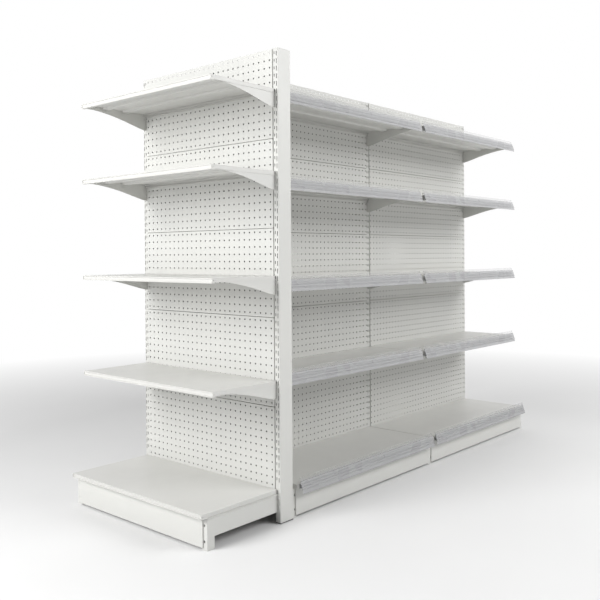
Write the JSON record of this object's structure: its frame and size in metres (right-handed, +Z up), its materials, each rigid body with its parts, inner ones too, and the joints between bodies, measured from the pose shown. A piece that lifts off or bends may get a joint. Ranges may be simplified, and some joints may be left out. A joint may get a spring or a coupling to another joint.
{
  "type": "gondola shelving unit",
  "caption": "Retail gondola shelving: a two-sided run of slotted uprights, perforated back panels and lift-off shelf trays, with a shelved end bay across one end.",
  "frame": {"origin": "middle of the bounding box's underside, on the floor", "axes": "+X along the run, away from the end bay; +Y towards the rear side of the run; +Z up"},
  "size_m": [2.937, 1.026, 2.12],
  "materials": {
    "coated_steel": "satin powder coat, fine texture",
    "coated_tray": "satin powder coat, fine texture",
    "clear_rail": "clear grey extruded plastic with fine ribs",
    "cap_plastic": "moulded, fine grain",
    "glide_plastic": "moulded, matt",
    "zinc_screws": "zinc plated"
  },
  "bodies": {
    "frame": {"end_upright_right": "coated_steel", "end_upright_left": "coated_steel", "run_upright_near": "coated_steel", "run_upright_middle": "coated_steel", "run_upright_far": "coated_steel", "end_cross_rails": "coated_steel", "run_cross_rails": "coated_steel", "frame_links": "coated_steel", "end_base_brackets": "coated_steel", "run_base_brackets_near": "coated_steel", "run_base_brackets_middle": "coated_steel", "run_base_brackets_far": "coated_steel", "end_back_panels": "coated_steel", "end_rear_panels": "coated_steel", "end_kick_plate": "coated_steel", "end_shelf_brackets": "coated_steel", "bay1_front_back_panels": "coated_steel", "bay1_front_kick_plate": "coated_steel", "bay1_front_shelf_brackets": "coated_steel", "bay1_rear_back_panels": "coated_steel", "bay1_rear_kick_plate": "coated_steel", "bay1_rear_shelf_brackets": "coated_steel", "bay2_front_back_panels": "coated_steel", "bay2_front_kick_plate": "coated_steel", "bay2_front_shelf_brackets": "coated_steel", "bay2_rear_back_panels": "coated_steel", "bay2_rear_kick_plate": "coated_steel", "bay2_rear_shelf_brackets": "coated_steel", "upright_caps": "cap_plastic", "foot_glides": "glide_plastic", "fasteners": "zinc_screws"},
    "end_shelf_1": {"end_shelf_1": "coated_tray"},
    "end_shelf_2": {"end_shelf_2": "coated_tray"},
    "end_shelf_3": {"end_shelf_3": "coated_tray"},
    "end_shelf_4": {"end_shelf_4": "coated_tray"},
    "end_deck": {"end_deck": "coated_tray"},
    "bay1_front_shelf_1": {"bay1_front_shelf_1": "coated_tray"},
    "bay1_front_shelf_2": {"bay1_front_shelf_2": "coated_tray"},
    "bay1_front_shelf_3": {"bay1_front_shelf_3": "coated_tray"},
    "bay1_front_shelf_4": {"bay1_front_shelf_4": "coated_tray"},
    "bay1_front_deck": {"bay1_front_deck": "coated_tray", "bay1_front_deck_label_rail": "clear_rail"},
    "bay1_rear_shelf_1": {"bay1_rear_shelf_1": "coated_tray"},
    "bay1_rear_shelf_2": {"bay1_rear_shelf_2": "coated_tray"},
    "bay1_rear_shelf_3": {"bay1_rear_shelf_3": "coated_tray"},
    "bay1_rear_shelf_4": {"bay1_rear_shelf_4": "coated_tray"},
    "bay1_rear_deck": {"bay1_rear_deck": "coated_tray", "bay1_rear_deck_label_rail": "clear_rail"},
    "bay2_front_shelf_1": {"bay2_front_shelf_1": "coated_tray"},
    "bay2_front_shelf_2": {"bay2_front_shelf_2": "coated_tray"},
    "bay2_front_shelf_3": {"bay2_front_shelf_3": "coated_tray"},
    "bay2_front_shelf_4": {"bay2_front_shelf_4": "coated_tray"},
    "bay2_front_deck": {"bay2_front_deck": "coated_tray", "bay2_front_deck_label_rail": "clear_rail"},
    "bay2_rear_shelf_1": {"bay2_rear_shelf_1": "coated_tray"},
    "bay2_rear_shelf_2": {"bay2_rear_shelf_2": "coated_tray"},
    "bay2_rear_shelf_3": {"bay2_rear_shelf_3": "coated_tray"},
    "bay2_rear_shelf_4": {"bay2_rear_shelf_4": "coated_tray"},
    "bay2_rear_deck": {"bay2_rear_deck": "coated_tray", "bay2_rear_deck_label_rail": "clear_rail"}
  },
  "joints": [
    {"name": "end_shelf_1_lift", "type": "slide", "parent": "frame", "child": "end_shelf_1", "axis": [0, 0, 1], "range_m": [0, 0.05]},
    {"name": "end_shelf_2_lift", "type": "slide", "parent": "frame", "child": "end_shelf_2", "axis": [0, 0, 1], "range_m": [0, 0.05]},
    {"name": "end_shelf_3_lift", "type": "slide", "parent": "frame", "child": "end_shelf_3", "axis": [0, 0, 1], "range_m": [0, 0.05]},
    {"name": "end_shelf_4_lift", "type": "slide", "parent": "frame", "child": "end_shelf_4", "axis": [0, 0, 1], "range_m": [0, 0.05]},
    {"name": "end_deck_lift", "type": "slide", "parent": "frame", "child": "end_deck", "axis": [0, 0, 1], "range_m": [0, 0.05]},
    {"name": "bay1_front_shelf_1_lift", "type": "slide", "parent": "frame", "child": "bay1_front_shelf_1", "axis": [0, 0, 1], "range_m": [0, 0.05]},
    {"name": "bay1_front_shelf_2_lift", "type": "slide", "parent": "frame", "child": "bay1_front_shelf_2", "axis": [0, 0, 1], "range_m": [0, 0.05]},
    {"name": "bay1_front_shelf_3_lift", "type": "slide", "parent": "frame", "child": "bay1_front_shelf_3", "axis": [0, 0, 1], "range_m": [0, 0.05]},
    {"name": "bay1_front_shelf_4_lift", "type": "slide", "parent": "frame", "child": "bay1_front_shelf_4", "axis": [0, 0, 1], "range_m": [0, 0.05]},
    {"name": "bay1_front_deck_lift", "type": "slide", "parent": "frame", "child": "bay1_front_deck", "axis": [0, 0, 1], "range_m": [0, 0.05]},
    {"name": "bay1_rear_shelf_1_lift", "type": "slide", "parent": "frame", "child": "bay1_rear_shelf_1", "axis": [0, 0, 1], "range_m": [0, 0.05]},
    {"name": "bay1_rear_shelf_2_lift", "type": "slide", "parent": "frame", "child": "bay1_rear_shelf_2", "axis": [0, 0, 1], "range_m": [0, 0.05]},
    {"name": "bay1_rear_shelf_3_lift", "type": "slide", "parent": "frame", "child": "bay1_rear_shelf_3", "axis": [0, 0, 1], "range_m": [0, 0.05]},
    {"name": "bay1_rear_shelf_4_lift", "type": "slide", "parent": "frame", "child": "bay1_rear_shelf_4", "axis": [0, 0, 1], "range_m": [0, 0.05]},
    {"name": "bay1_rear_deck_lift", "type": "slide", "parent": "frame", "child": "bay1_rear_deck", "axis": [0, 0, 1], "range_m": [0, 0.05]},
    {"name": "bay2_front_shelf_1_lift", "type": "slide", "parent": "frame", "child": "bay2_front_shelf_1", "axis": [0, 0, 1], "range_m": [0, 0.05]},
    {"name": "bay2_front_shelf_2_lift", "type": "slide", "parent": "frame", "child": "bay2_front_shelf_2", "axis": [0, 0, 1], "range_m": [0, 0.05]},
    {"name": "bay2_front_shelf_3_lift", "type": "slide", "parent": "frame", "child": "bay2_front_shelf_3", "axis": [0, 0, 1], "range_m": [0, 0.05]},
    {"name": "bay2_front_shelf_4_lift", "type": "slide", "parent": "frame", "child": "bay2_front_shelf_4", "axis": [0, 0, 1], "range_m": [0, 0.05]},
    {"name": "bay2_front_deck_lift", "type": "slide", "parent": "frame", "child": "bay2_front_deck", "axis": [0, 0, 1], "range_m": [0, 0.05]},
    {"name": "bay2_rear_shelf_1_lift", "type": "slide", "parent": "frame", "child": "bay2_rear_shelf_1", "axis": [0, 0, 1], "range_m": [0, 0.05]},
    {"name": "bay2_rear_shelf_2_lift", "type": "slide", "parent": "frame", "child": "bay2_rear_shelf_2", "axis": [0, 0, 1], "range_m": [0, 0.05]},
    {"name": "bay2_rear_shelf_3_lift", "type": "slide", "parent": "frame", "child": "bay2_rear_shelf_3", "axis": [0, 0, 1], "range_m": [0, 0.05]},
    {"name": "bay2_rear_shelf_4_lift", "type": "slide", "parent": "frame", "child": "bay2_rear_shelf_4", "axis": [0, 0, 1], "range_m": [0, 0.05]},
    {"name": "bay2_rear_deck_lift", "type": "slide", "parent": "frame", "child": "bay2_rear_deck", "axis": [0, 0, 1], "range_m": [0, 0.05]}
  ]
}
